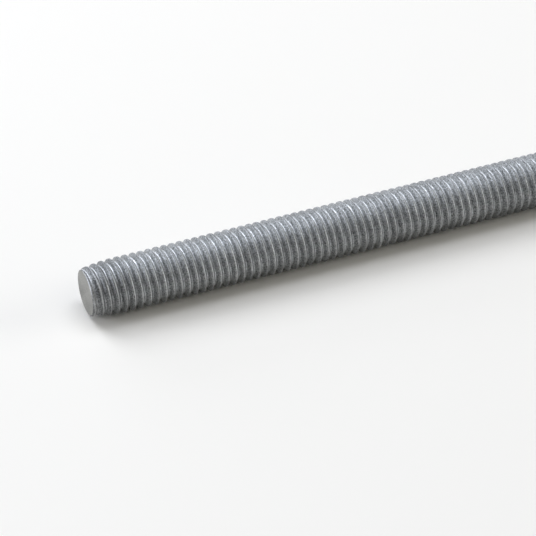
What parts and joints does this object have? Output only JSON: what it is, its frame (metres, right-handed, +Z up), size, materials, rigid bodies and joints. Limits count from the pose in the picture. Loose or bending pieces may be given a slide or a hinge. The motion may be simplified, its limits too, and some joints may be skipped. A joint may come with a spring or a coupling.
{
  "type": "threaded rod",
  "caption": "Straight steel rod with a right-hand screw thread along its full length, flat cut ends and a matte hot-dip galvanised finish",
  "frame": {"origin": "centre of the near end face, on the rod's axis", "axes": "+X along the rod's axis from the near end face to the far one, +Z up as it lies"},
  "size_m": [0.15, 0.0118, 0.0118],
  "materials": {
    "hot_dip_zinc": "matte hot-dip zinc on rolled steel, mid grey, slightly rough"
  },
  "bodies": {
    "root": {"threaded_rod": "hot_dip_zinc"}
  },
  "joints": []
}
